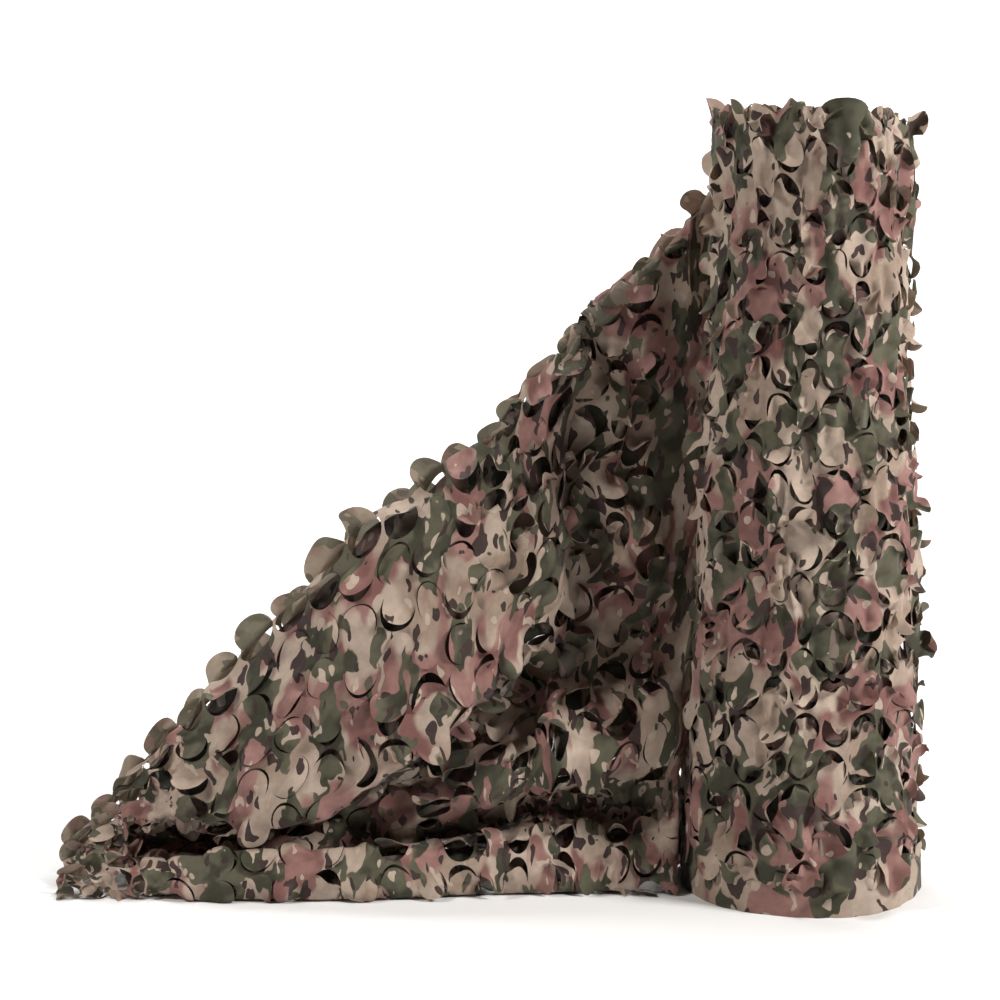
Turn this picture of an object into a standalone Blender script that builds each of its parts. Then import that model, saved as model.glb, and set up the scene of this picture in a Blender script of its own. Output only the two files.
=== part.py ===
"""A bulk roll of leaf-cut camouflage net, standing on end, with its loose end pulled out.

The roll stands on its round foot at the origin, with its axis along Z. The loose end leaves the back of
the roll, runs along -X, slumps from the roll's full height down to the floor, and lies there in folds.
The net is cloth cut all over with round flaps, in a square lattice. Neighbouring flaps are hinged at
opposite sides, top and bottom. On both solids each flap stands up as a low lip.
"""

import math
import random
from collections import Counter, namedtuple

import bpy
import numpy as np

# Sizes, in metres.
NET_WIDTH = 1.5
CLOTH = 0.0025
FLAP_PITCH = 0.088
FOOT_BAND = 0.085

# The roll.
FOOT_RADIUS = 0.232
TOP_RADIUS = 0.180
FLARE = 1.5
FLAPS_ROUND = 14
COLUMNS_PER_ROLL_FLAP = 4
ROWS_PER_FLAP = 3
ROLL_LIFTS = (0.010, 0.024)
ROLL_TURNS = 6
TURN_RELIEF = 0.010
CREST_DROP = 0.3
EYE_RADIUS = 0.022
EDGE_LOBE = 0.016
LUMP = 0.003
FOOT_RIPPLE = 0.004

# The loose end.
SEAT_GAP = 0.0006
SEAT_COLUMNS = (15, 16, 17, 18, 19)
SEAT_CLEARANCE = 0.014
FLAP_CLEARANCE = 0.020
PLAIN_ARC = (80.0, 160.0)
PLAIN_ARC_AT_FOOT = (80.0, 215.0)
PLAIN_ARC_FADE = 12.0
FOOT_END, TOP_START = 0.35, 0.80
DRAPE_LIFTS = (0.010, 0.022)
DRAPE_UNEVENNESS = 0.003
DRAPE_WAVES = ((19, 0, 7, 1.3), (-23, 0, 11, 0.4), (9, 9, 31, 0.0))
WAVES_FADE = (-0.24, -0.40)
CUT_EVERY = 2
BORDER_LOBE = 0.016
FAR_LOBE = 0.35
GAP_RISE = 0.016
GAP_DROP = 0.007
CALM_HEIGHT = 0.05
CALM_FOR_GAP = 0.9
CALM_BEND = (28.0, 50.0)
CALM_HOLLOW = (5.0, 12.0)
HOLLOW_REACH = 5
CALM_STEP = (0.014, 0.024)
HEAP_START = -1.12
HEAP_CRUMPLE = 0.012
HEAP_FADE = 0.1
HEAP_WAVES = ((15, 52, 0, 0.0), (43, 20, 0, 1.0))
SEED = 11

# The draped cloth, one row for each section across it, from the roll to its far end. x is where the
# ridge is, and turn is how far the section's plane is turned to -X at its front, in degrees. Every
# other column is a point of the cloth as (y, z), from the hem at the front, over the ridge, to the
# edge behind.
Section = namedtuple(
    "Section", "x turn hem toe tube gutter fold pocket nose face ridge flap edge"
)
SECTIONS = (
    Section(-0.150, 35, (.130, .003), (.125, .050), (.130, .120), (.135, .210), (.130, .34),
            (.135, .50), (.140, .70), (.145, .99), (.150, 1.385), (.175, 1.415), (.195, 1.44)),
    Section(-0.185, 35, (.012, .003), (.014, .040), (.030, .100), (.045, .180), (.055, .30),
            (.100, .45), (.115, .66), (.135, .95), (.135, 1.330), (.165, 1.335), (.190, 1.31)),
    Section(-0.225, 6, (-.085, .003), (-.079, .030), (-.055, .095), (-.015, .165), (.000, .29),
            (.105, .44), (.105, .63), (.135, .92), (.120, 1.275), (.155, 1.250), (.175, 1.17)),
    Section(-0.318, 0, (-.065, .003), (-.098, .014), (-.050, .092), (.055, .13), (-.060, .27),
            (.105, .45), (.075, .60), (.120, .85), (.095, 1.195), (.145, 1.140), (.155, 1.02)),
    Section(-0.414, 0, (-.010, .003), (-.095, .010), (-.050, .098), (.065, .13), (-.085, .265),
            (.090, .45), (.080, .63), (.095, .82), (.080, 1.110), (.130, 1.045), (.145, .90)),
    Section(-0.510, 0, (-.010, .003), (-.100, .010), (-.060, .105), (.055, .13), (-.105, .245),
            (.100, .385), (-.020, .50), (.035, .72), (.065, 1.000), (.125, .925), (.150, .74)),
    Section(-0.607, 0, (.000, .003), (-.105, .010), (-.075, .092), (.045, .105), (-.110, .205),
            (.105, .32), (-.075, .41), (-.015, .62), (.055, .880), (.130, .790), (.170, .55)),
    Section(-0.725, 0, (-.010, .003), (-.125, .012), (-.090, .085), (.030, .068), (-.070, .155),
            (.085, .235), (-.110, .32), (-.060, .52), (.050, .795), (.140, .690), (.220, .38)),
    Section(-0.856, 0, (-.020, .003), (-.140, .012), (-.100, .088), (.000, .036), (.012, .090),
            (.070, .150), (-.130, .205), (-.080, .42), (.045, .690), (.150, .560), (.290, .20)),
    Section(-1.000, 0, (-.020, .003), (-.140, .012), (-.105, .088), (-.010, .045), (.010, .072),
            (.060, .110), (-.120, .155), (-.090, .32), (.035, .545), (.160, .400), (.340, .06)),
    Section(-1.130, 0, (-.030, .003), (-.140, .012), (-.100, .085), (-.020, .040), (.010, .055),
            (.050, .090), (-.100, .125), (-.080, .24), (.020, .410), (.160, .270), (.360, .012)),
    Section(-1.240, 0, (-.060, .003), (-.130, .012), (-.090, .070), (-.035, .030), (.000, .060),
            (.020, .095), (-.070, .125), (-.055, .19), (.000, .290), (.140, .180), (.330, .008)),
    Section(-1.350, 0, (-.120, .003), (-.110, .020), (-.085, .060), (-.050, .035), (-.030, .070),
            (-.010, .095), (-.005, .12), (.000, .14), (.020, .155), (.100, .080), (.260, .006)),
    Section(-1.440, 0, (-.110, .003), (-.090, .012), (-.070, .035), (-.045, .020), (-.020, .038),
            (.000, .030), (.020, .04), (.040, .05), (.060, .055), (.090, .030), (.160, .004)),
)
# The points from the pocket to the flap set how far along the net a section is, and the points up to
# the nose keep to the same rows.
MAIN_FACE = (5, 10)
LAST_FIXED = 6
FINE_STEPS = 240
# How high each of those points is on the roll, where the cloth is still flat against it.
SEAT_HEIGHTS = (.003, .090, .180, .290, .420, .580, .790, 1.050, 1.370, 1.435, 1.494)


def lerp(a, b, share):
    return a + (b - a) * share


def smoothstep(low, high, value):
    share = np.clip((value - low) / (high - low), 0.0, 1.0)
    return share * share * (3.0 - 2.0 * share)


def new_object(name, vertices, faces, colour, roughness):
    """A mesh object with its own Principled material."""
    mesh = bpy.data.meshes.new(name)
    mesh.from_pydata([tuple(v) for v in vertices], [], faces)
    mesh.shade_smooth()
    material = bpy.data.materials.new(name)
    material.use_nodes = True
    shader = material.node_tree.nodes["Principled BSDF"]
    shader.inputs["Base Color"].default_value = (*colour, 1.0)
    shader.inputs["Roughness"].default_value = roughness
    shader.inputs["Metallic"].default_value = 0.0
    mesh.materials.append(material)
    obj = bpy.data.objects.new(name, mesh)
    bpy.context.scene.collection.objects.link(obj)
    return obj


def hinged_at_top(column, row):
    """Flaps take turns, as on a chequerboard."""
    return (column + row) % 2 == 0


# The roll.

def roll_radius(height):
    """The wound cloth's radius without its flaps: the roll is wider at its foot."""
    down = 1.0 - np.clip(height / NET_WIDTH, 0.0, 1.0)
    return TOP_RADIUS + (FOOT_RADIUS - TOP_RADIUS) * down**FLARE


def away_from_seat(angle, height):
    """0 on the arc where the loose end lies on or near the roll, wider at the foot, and 1 elsewhere."""
    rise = smoothstep(FOOT_END, TOP_START, height)
    start, end = (lerp(low, high, rise) for low, high in zip(PLAIN_ARC_AT_FOOT, PLAIN_ARC))
    off = np.abs((np.degrees(angle) - (start + end) / 2 + 180.0) % 360.0 - 180.0)
    return smoothstep(0.0, PLAIN_ARC_FADE, off - (end - start) / 2 + PLAIN_ARC_FADE)


def roll_lift(column, row, lifts):
    """How far a point of the wall stands out, from its place in its flap."""
    flap_column, across = divmod(column, COLUMNS_PER_ROLL_FLAP)
    flap_row, up = divmod(row, ROWS_PER_FLAP)
    spread = math.sin(math.pi * across / COLUMNS_PER_ROLL_FLAP)
    if hinged_at_top(flap_column, flap_row):
        rise = (0.0, 1.0, 0.5)[up]
    else:
        rise = (0.0, 0.5, 1.0)[up]
    return spread * rise * lifts[flap_column, flap_row]


def make_roll():
    rng = random.Random(SEED)
    columns = FLAPS_ROUND * COLUMNS_PER_ROLL_FLAP
    flap_rows = round((NET_WIDTH - FOOT_BAND) / FLAP_PITCH)
    rows = flap_rows * ROWS_PER_FLAP
    lifts = {
        (c, r): rng.uniform(*ROLL_LIFTS) for c in range(FLAPS_ROUND) for r in range(flap_rows + 1)
    }
    angles = [2 * math.pi * c / columns for c in range(columns)]
    vertices = []

    def ring(radii, heights):
        first = len(vertices)
        for angle, radius, height in zip(angles, radii, heights):
            vertices.append((radius * math.cos(angle), radius * math.sin(angle), height))
        return [first + c for c in range(columns)]

    # The foot is flat, and its plain band ripples a little. Above it come the rows of flaps.
    ripples = [FOOT_RIPPLE * away_from_seat(a, 0.0) * math.sin(5 * a + 1.0) for a in angles]
    rings = [ring([FOOT_RADIUS + ripple for ripple in ripples], [0.0] * columns)]
    for row in range(rows + 1):
        height = FOOT_BAND + (NET_WIDTH - FOOT_BAND) * row / rows
        radii = []
        for c, angle in enumerate(angles):
            lump = LUMP * math.sin(3 * angle + 4 * height) + LUMP * math.sin(2 * angle - 7 * height)
            lift = roll_lift(c, row, lifts) if 0 < row < rows else 0.0
            radii.append(roll_radius(height) + away_from_seat(angle, height) * (lump + lift))
        lobes = [
            EDGE_LOBE * (abs(math.sin(a * FLAPS_ROUND / 2)) - 1.0) if row == rows else 0.0
            for a in angles
        ]
        rings.append(ring(radii, [height + lobe for lobe in lobes]))

    # The top shows the turns of the cloth: one crest winds inwards from the edge, with a furrow
    # beside it.
    crest = rings[-1] + [rings[-1][0]]
    furrow = [rings[-1][0]]
    edge = [math.hypot(*vertices[v][:2]) for v in crest]
    last = ROLL_TURNS * columns
    for k in range(columns + 1, last + 1):
        turns = k / columns - 1.0
        inwards = turns / (ROLL_TURNS - 1)
        angle = 2 * math.pi * k / columns
        radius = lerp(edge[k % columns], EYE_RADIUS, inwards)
        height = NET_WIDTH - EDGE_LOBE * smoothstep(0.0, CREST_DROP, turns)
        height -= TURN_RELIEF / 3 * (1.0 + math.sin(5 * angle)) * smoothstep(0.0, 1.0, turns)
        crest.append(len(vertices))
        vertices.append((radius * math.cos(angle), radius * math.sin(angle), height))
    for k in range(1, last - columns + 1):
        outer, inner = (np.array(vertices[crest[i]]) for i in (k, k + columns))
        depth = TURN_RELIEF * smoothstep(0.0, CREST_DROP, k / columns)
        middle = (outer + inner) / 2
        furrow.append(len(vertices))
        vertices.append((middle[0], middle[1], min(outer[2], inner[2]) - depth))

    faces = [tuple(reversed(rings[0]))]
    for low, high in zip(rings, rings[1:]):
        for c in range(columns):
            d = (c + 1) % columns
            faces.append((low[c], low[d], high[d], high[c]))
    for k in range(last - columns):
        for outer, inner in ((crest[k:], furrow[k:]), (furrow[k:], crest[k + columns:])):
            quad = (outer[0], outer[1], inner[1], inner[0])
            faces.append(tuple(dict.fromkeys(quad)))
    vertices.append((0.0, EYE_RADIUS / 3, NET_WIDTH - EDGE_LOBE - TURN_RELIEF))
    eye = [*crest[last - columns:], furrow[last - columns]]
    for a, b in zip(eye, eye[1:] + eye[:1]):
        faces.append((a, b, len(vertices) - 1))
    return new_object("net_roll", vertices, faces, (0.36, 0.29, 0.23), 0.8)


# The loose end.

def smooth_curve(points, places, wanted):
    """Points at the wanted places of a smooth curve through points, which lie at places along it.
    The curve is a cubic between neighbours, with each slope taken from the points on both sides."""
    points = np.asarray(points, float)
    places = np.asarray(places, float)
    slopes = np.gradient(points, places, axis=0)
    index = np.clip(np.searchsorted(places, wanted, side="right") - 1, 0, len(places) - 2)
    span = places[index + 1] - places[index]
    t = (np.asarray(wanted) - places[index]) / span
    shape = (len(t),) + (1,) * (points.ndim - 1)
    t, span = t.reshape(shape), span.reshape(shape)
    return (
        (2 * t**3 - 3 * t**2 + 1) * points[index]
        + (t**3 - 2 * t**2 + t) * span * slopes[index]
        + (3 * t**2 - 2 * t**3) * points[index + 1]
        + (t**3 - t**2) * span * slopes[index + 1]
    )


def distances(points):
    """How far along a line of points each of them is."""
    steps = np.linalg.norm(np.diff(points, axis=0), axis=-1)
    return np.concatenate([[0.0], np.cumsum(steps)])


def section_points():
    """The cloth's named points, as [section][point](x, y, z), from the seat on the roll outwards."""
    rows = []
    for column in SEAT_COLUMNS:
        angle = 2 * math.pi * column / (FLAPS_ROUND * COLUMNS_PER_ROLL_FLAP)
        row = []
        for height in SEAT_HEIGHTS:
            radius = roll_radius(height) + SEAT_GAP + CLOTH / 2
            row.append((radius * math.cos(angle), radius * math.sin(angle), height))
        rows.append(row)
    for section in SECTIONS:
        lean = math.tan(math.radians(section.turn))
        row = []
        for y, z in section[2:]:
            row.append((section.x - (section.ridge[0] - y) * lean, y, z))
        rows.append(row)
    return np.array(rows)


def cloth_grid(columns, rows):
    """The cloth's middle surface as [column][row](x, y, z). Its lower folds keep to the same rows of
    the net from end to end, and above them the rows are evenly spaced."""
    named = section_points()
    along = np.mean([distances(named[:, m]) for m in range(*MAIN_FACE)], axis=0)
    seat = along[len(SEAT_COLUMNS) - 1]
    free = columns - len(SEAT_COLUMNS)
    wanted = np.concatenate(
        [along[: len(SEAT_COLUMNS)], seat + (along[-1] - seat) * np.arange(1, free + 1) / free]
    )
    rails = smooth_curve(named, along, wanted)
    grid = np.empty((columns, rows, 3))
    fixed = [height / SEAT_HEIGHTS[-1] for height in SEAT_HEIGHTS[: LAST_FIXED + 1]] + [1.0]
    shares = np.linspace(0.0, 1.0, FINE_STEPS + 1)
    for c, rail in enumerate(rails):
        places = distances(rail)
        wide = places[-1] * shares
        curve = smooth_curve(rail, places, wide)
        run = distances(curve)
        at_fixed = [*np.interp(places[: LAST_FIXED + 1], wide, run), run[-1]]
        at_rows = np.interp(np.linspace(0.0, 1.0, rows), fixed, at_fixed)
        for axis in range(3):
            grid[c, :, axis] = np.interp(at_rows, run, curve[:, axis])
    return grid


def waves(grid, table):
    """One sine wave over the grid for each row of the table, (along X, Y and Z, phase)."""
    return [np.sin(grid @ np.array(way, float) + phase) for *way, phase in table]


def uneven(grid):
    """A soft, slow waviness, none of it on the roll, and a crumpled heap at the far end."""
    x, z = grid[..., 0], grid[..., 2]
    slow = DRAPE_UNEVENNESS * sum(waves(grid, DRAPE_WAVES))
    slow *= smoothstep(*WAVES_FADE, x) * smoothstep(CALM_HEIGHT, 3 * CALM_HEIGHT, z)
    crumple = HEAP_CRUMPLE * math.prod(waves(grid, HEAP_WAVES))
    return slow + crumple * smoothstep(HEAP_START, HEAP_START - HEAP_FADE, x)


def normals_of(grid):
    """The way each point of the cloth faces, towards its front."""
    along = np.gradient(grid, axis=0)
    across = np.gradient(grid, axis=1)
    facing = np.cross(across, along)
    return facing / np.linalg.norm(facing, axis=-1, keepdims=True)


def clear_of_roll(grid):
    """Past the seat, the cloth stands a little off the roll."""
    seat = len(SEAT_COLUMNS)
    ease = smoothstep(0.0, 2.0, np.arange(grid.shape[0]) - (seat - 1.0))[:, None]
    away = away_from_seat(np.arctan2(grid[..., 1], grid[..., 0]), grid[..., 2])
    room = roll_radius(grid[..., 2]) + SEAT_GAP + CLOTH / 2
    room = room + (SEAT_CLEARANCE + FLAP_CLEARANCE * away) * ease
    reach = np.hypot(grid[..., 0], grid[..., 1])
    push = np.maximum(room / reach, 1.0)
    push[:seat] = 1.0
    grid[..., 0] *= push
    grid[..., 1] *= push


def calmness(grid, facing):
    """1 where the flaps can stand up, down to 0 near the floor, on the roll and in tight folds."""
    step = np.linalg.norm(np.gradient(grid, axis=1), axis=-1)
    turning = np.gradient(np.gradient(grid, axis=1), axis=1) / step[..., None] ** 2
    bend = np.linalg.norm(turning, axis=-1)
    hollow = np.maximum((turning * facing).sum(axis=-1), 0.0)
    deepest = hollow.copy()
    for row in range(grid.shape[1]):
        near = slice(max(row - HOLLOW_REACH, 0), row + HOLLOW_REACH + 1)
        deepest[:, row] = hollow[:, near].max(axis=1)
    calm = smoothstep(CALM_HEIGHT, 2 * CALM_HEIGHT, grid[..., 2]) * smoothstep(*CALM_STEP, step)
    calm *= (1.0 - smoothstep(*CALM_BEND, bend)) * (1.0 - smoothstep(*CALM_HOLLOW, deepest))
    calm[: len(SEAT_COLUMNS) + 2] = 0.0
    return calm


def halves_of(corners):
    """A quad of cloth as two triangles, split where they face most nearly as its corners do. corners
    has the front and back point of each. Both sides bend along the one line, so the cloth keeps its
    thickness."""
    front = corners[:, 0]
    facing = front - corners[:, 1]
    best = {}
    for halves in (((0, 1, 2), (0, 2, 3)), ((1, 2, 3), (1, 3, 0))):
        agrees = []
        for a, b, c in halves:
            normal = np.cross(front[c] - front[a], front[b] - front[a])
            agrees += list(facing[[a, b, c]] @ normal / np.linalg.norm(normal))
        best[min(agrees)] = halves
    return best[max(best)]


def make_loose_end():
    rng = random.Random(SEED)
    flap_rows = round(NET_WIDTH / FLAP_PITCH)
    rows = flap_rows * ROWS_PER_FLAP + 1
    length = distances(section_points()[:, 6])[-1]
    flap_columns = round(length / FLAP_PITCH)
    columns = 2 * flap_columns + 1
    grid = cloth_grid(columns, rows)
    grid += normals_of(grid) * uneven(grid)[..., None]
    clear_of_roll(grid)
    grid[..., 2] = np.maximum(grid[..., 2], CLOTH / 2)
    facing = normals_of(grid)
    up = np.gradient(grid, axis=1)
    up /= np.linalg.norm(up, axis=-1, keepdims=True)

    calm = calmness(grid, facing)
    centre = grid.copy()
    gaps = {}
    for flap_column in range(flap_columns):
        for flap_row in range(flap_rows):
            c = 2 * flap_column + 1
            top = hinged_at_top(flap_column, flap_row)
            lip = flap_row * ROWS_PER_FLAP + (1 if top else 2)
            mid = flap_row * ROWS_PER_FLAP + (2 if top else 1)
            lift = rng.uniform(*DRAPE_LIFTS) * calm[c, lip]
            centre[c, lip] += facing[c, lip] * lift
            centre[c, mid] += facing[c, mid] * lift / 2
            chosen = (flap_column // 2 + flap_row) % CUT_EVERY == 0
            inside = 0 < flap_row < flap_rows - 1 and flap_column < flap_columns - 1
            if chosen and inside and calm[c, lip] > CALM_FOR_GAP:
                way = up[c, lip] * (1.0 if top else -1.0)
                gaps[c, lip] = (top, grid[c, lip] - way * GAP_DROP)
                centre[c, lip] += way * GAP_RISE

    # The free edges are scalloped: a lobe for each flap.
    for c in range(len(SEAT_COLUMNS) + 2, columns, 2):
        tip = grid[c, -1] - grid[c, -2]
        centre[c, -1] += tip * (BORDER_LOBE * calm[c, -4] / np.linalg.norm(tip))
    for r in range(ROWS_PER_FLAP, rows - 1, ROWS_PER_FLAP):
        centre[-1, r] += (grid[-1, r] - grid[-2, r]) * FAR_LOBE
    centre[..., 2] = np.maximum(centre[..., 2], CLOTH / 2)

    vertices, faces = [], []
    half = CLOTH / 2

    def both_sides(point, face):
        """The front and back vertex of one point of the cloth, never below the floor."""
        pair = []
        for side in (half, -half):
            place = point + face * side
            vertices.append((place[0], place[1], max(place[2], 0.0)))
            pair.append(len(vertices) - 1)
        return pair

    ids = {(c, r): both_sides(centre[c, r], facing[c, r]) for c in range(columns) for r in range(rows)}
    outer = {key: both_sides(point, facing[key]) for key, (_, point) in gaps.items()}

    # Each gap is a slit whose middle is pulled open: the flap's lip is one side, its outer line the other.
    edges = Counter()
    cells = []
    for c in range(columns - 1):
        for r in range(rows - 1):
            corners = []
            for key in ((c, r), (c + 1, r), (c + 1, r + 1), (c, r + 1)):
                below = key[1] == r + 1
                use_outer = key in gaps and gaps[key][0] == below
                corners.append(outer[key] if use_outer else ids[key])
            cells.append(corners)
            for a, b in zip(corners, corners[1:] + corners[:1]):
                edges[a[0], b[0]] += 1
    back_of = {pair[0]: pair[1] for pair in [*ids.values(), *outer.values()]}
    for corners in cells:
        for half in halves_of(np.array([[vertices[v] for v in pair] for pair in corners])):
            faces.append(tuple(corners[k][0] for k in reversed(half)))
            faces.append(tuple(corners[k][1] for k in half))
    for a, b in edges:
        if (b, a) not in edges:
            faces.append((a, b, back_of[b], back_of[a]))
    return new_object("loose_end", vertices, faces, (0.30, 0.27, 0.20), 0.8)


for old in list(bpy.data.objects):
    bpy.data.objects.remove(old)
make_roll()
make_loose_end()
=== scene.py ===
"""The looks of a roll of leaf-cut camouflage net with its loose end pulled out.

Both solids are replaced by the cloth itself: one sheet of net for the loose end, with a second
layer hanging behind it, and turns of net for the roll. A net is a lattice of cells. Each cell has a
round flap, cut free round most of its edge and hinged at its top or bottom, and the web that is
left between the flaps. The flaps stand up and curl.
"""

import math
from collections import namedtuple

import bpy
import numpy as np
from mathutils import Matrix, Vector


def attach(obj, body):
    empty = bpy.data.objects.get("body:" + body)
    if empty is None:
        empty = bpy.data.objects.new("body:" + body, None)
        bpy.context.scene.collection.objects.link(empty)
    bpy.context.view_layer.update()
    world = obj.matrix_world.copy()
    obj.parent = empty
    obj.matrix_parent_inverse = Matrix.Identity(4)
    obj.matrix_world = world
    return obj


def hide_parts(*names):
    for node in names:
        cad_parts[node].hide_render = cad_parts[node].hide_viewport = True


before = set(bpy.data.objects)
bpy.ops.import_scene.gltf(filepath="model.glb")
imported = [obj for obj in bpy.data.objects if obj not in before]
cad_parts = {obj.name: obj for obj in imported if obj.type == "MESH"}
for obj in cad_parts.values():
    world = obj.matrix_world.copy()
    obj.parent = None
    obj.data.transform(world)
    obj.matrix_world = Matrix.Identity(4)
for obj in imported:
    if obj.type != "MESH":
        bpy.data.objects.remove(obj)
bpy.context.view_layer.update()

# The solids' named sizes, in metres.
NET_WIDTH = 1.5
FOOT_BAND = 0.085
FOOT_RADIUS = 0.232
TOP_RADIUS = 0.180
FLARE = 1.5
SEAT_GAP = 0.002
SEAT_ANGLES = (96.4, 102.9, 109.3, 115.7, 122.1)
SEAT_CLEARANCE = 0.014
FLAP_CLEARANCE = 0.020
PLAIN_ARC = (80.0, 160.0)
PLAIN_ARC_AT_FOOT = (80.0, 215.0)
PLAIN_ARC_FADE = 12.0
FOOT_END, TOP_START = 0.35, 0.80
DRAPE_WAVE = 0.003
DRAPE_WAVES = ((19, 0, 7, 1.3), (-23, 0, 11, 0.4), (9, 9, 31, 0.0))

# The draped cloth, one row for each section across it, from the roll to its far end. x is where the
# ridge is, and turn is how far the section's plane is turned to -X at its front, in degrees. Every
# other column is a point of the cloth as (y, z), from the hem at the front, over the ridge, to the
# edge behind.
Section = namedtuple(
    "Section", "x turn hem toe tube gutter fold pocket nose face ridge flap edge"
)
SECTIONS = (
    Section(-0.150, 35, (.130, .003), (.125, .050), (.130, .120), (.135, .210), (.130, .34),
            (.135, .50), (.140, .70), (.145, .99), (.150, 1.385), (.175, 1.415), (.195, 1.44)),
    Section(-0.185, 35, (.012, .003), (.014, .040), (.030, .100), (.045, .180), (.055, .30),
            (.100, .45), (.115, .66), (.135, .95), (.135, 1.330), (.165, 1.335), (.190, 1.31)),
    Section(-0.225, 6, (-.085, .003), (-.079, .030), (-.055, .095), (-.015, .165), (.000, .29),
            (.105, .44), (.105, .63), (.135, .92), (.120, 1.275), (.155, 1.250), (.175, 1.17)),
    Section(-0.318, 0, (-.065, .003), (-.098, .014), (-.050, .092), (.055, .13), (-.060, .27),
            (.105, .45), (.075, .60), (.120, .85), (.095, 1.195), (.145, 1.140), (.155, 1.02)),
    Section(-0.414, 0, (-.010, .003), (-.095, .010), (-.050, .098), (.065, .13), (-.085, .265),
            (.090, .45), (.080, .63), (.095, .82), (.080, 1.110), (.130, 1.045), (.145, .90)),
    Section(-0.510, 0, (-.010, .003), (-.100, .010), (-.060, .105), (.055, .13), (-.105, .245),
            (.100, .385), (-.020, .50), (.035, .72), (.065, 1.000), (.125, .925), (.150, .74)),
    Section(-0.607, 0, (.000, .003), (-.105, .010), (-.075, .092), (.045, .105), (-.110, .205),
            (.105, .32), (-.075, .41), (-.015, .62), (.055, .880), (.130, .790), (.170, .55)),
    Section(-0.725, 0, (-.010, .003), (-.125, .012), (-.090, .085), (.030, .068), (-.070, .155),
            (.085, .235), (-.110, .32), (-.060, .52), (.050, .795), (.140, .690), (.220, .38)),
    Section(-0.856, 0, (-.020, .003), (-.140, .012), (-.100, .088), (.000, .036), (.012, .090),
            (.070, .150), (-.130, .205), (-.080, .42), (.045, .690), (.150, .560), (.290, .20)),
    Section(-1.000, 0, (-.020, .003), (-.140, .012), (-.105, .088), (-.010, .045), (.010, .072),
            (.060, .110), (-.120, .155), (-.090, .32), (.035, .545), (.160, .400), (.340, .06)),
    Section(-1.130, 0, (-.030, .003), (-.140, .012), (-.100, .085), (-.020, .040), (.010, .055),
            (.050, .090), (-.100, .125), (-.080, .24), (.020, .410), (.160, .270), (.360, .012)),
    Section(-1.240, 0, (-.060, .003), (-.130, .012), (-.090, .070), (-.035, .030), (.000, .060),
            (.020, .095), (-.070, .125), (-.055, .19), (.000, .290), (.140, .180), (.330, .008)),
    Section(-1.350, 0, (-.120, .003), (-.110, .020), (-.085, .060), (-.050, .035), (-.030, .070),
            (-.010, .095), (-.005, .12), (.000, .14), (.020, .155), (.100, .080), (.260, .006)),
    Section(-1.440, 0, (-.110, .003), (-.090, .012), (-.070, .035), (-.045, .020), (-.020, .038),
            (.000, .030), (.020, .04), (.040, .05), (.060, .055), (.090, .030), (.160, .004)),
)
MAIN_FACE = (5, 10)
LAST_FIXED = 6
FACE = 7
SEAT_HEIGHTS = (.003, .090, .180, .290, .420, .580, .790, 1.050, 1.370, 1.435, 1.494)
FINE_STEPS = 480

# The net's cloth, in metres: a flap's width, and the net's pitch laid flat, where it is gathered,
# and on the roll. Half of the arc round a flap that isn't cut is in degrees.
CELL = 0.084
FLAP = 0.078
SLACK_CELL = 0.070
ROLL_CELL = 0.060
ROLL_ROW = 0.069
HINGE_HALF_ANGLE = 62.0
FLAP_RADIUS = FLAP / CELL / 2
HINGE = FLAP_RADIUS * math.cos(math.radians(HINGE_HALF_ANGLE))

# How a net is laid on its form: the form's steps to a cell, how little and how much of the net's
# stretch a flap takes up, how far a flap that hinges at its bottom lifts, from 0 to 1, where along
# it a flap is free of its hinge, and how round its crease is, in metres.
FINE = 12
FLAP_SIZES = (0.60, 1.40)
BELOW_LIFT = 0.5
HINGE_STEP = 0.25
BEND_PARTS = 8
TILTED_BY = 0.25
FREE_BY = 0.45
CREASE_ROUND = 0.008
FLOOR_CLEAR = 0.001
NOISE_CELLS = 64

# The loose end. Each pair of x says where something fades in along it, from none to all of it.
CELLS_ACROSS = 21
OWN_SHARE = 0.6
TAUT_FROM, TAUT_TO = (-0.48, -0.80), (-1.35, -1.05)
FREE_FROM = (-0.20, -0.32)
SEAT_LENGTH = 0.05
OFF_FLOOR = (0.01, 0.09)
WANDER = 0.013
WANDER_SIDE = 1.5
HEAP_FROM = (-1.08, -1.26)
BUNCH_FROM, BUNCH_TO, BUNCH_UP = (-0.68, -0.50), (-0.22, -0.28), (0.12, 0.30)
BUNCH_SHIFT = 0.020
SHEET_CLEAR = 0.0015

# Its small forms, as layers of noise: height in metres, seed, and how many of the noise's own cells
# go to one cell of the net, along it and across it.
PILLOW = ((0.0055, 21, 1.1, 1.1), (0.0035, 22, 2.3, 2.3))
CRUMPLE = ((0.013, 23, 1.6, 0.9), (0.006, 24, 3.1, 2.1))
BUNCH = ((0.024, 27, 0.9, 0.55), (0.012, 28, 1.9, 1.3))
BUNCH_ALONG = ((1.0, 29, 0.9, 0.55),)
WANDER_ALONG = ((1.0, 25, 0.7, 0.9),)
WANDER_ACROSS = ((1.0, 26, 0.9, 0.7),)

# The layer behind the loose end: how far behind it hangs, where that starts, its reach in x, and
# the rows of cells that say where a column of the net is.
UNDER_GAP = 0.022
UNDER_FROM = (-0.15, -0.23)
UNDER_REACH = (-0.185, -1.30)
UNDER_ROWS = (6, 14)
UNDER_CLEAR = 0.0012

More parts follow.
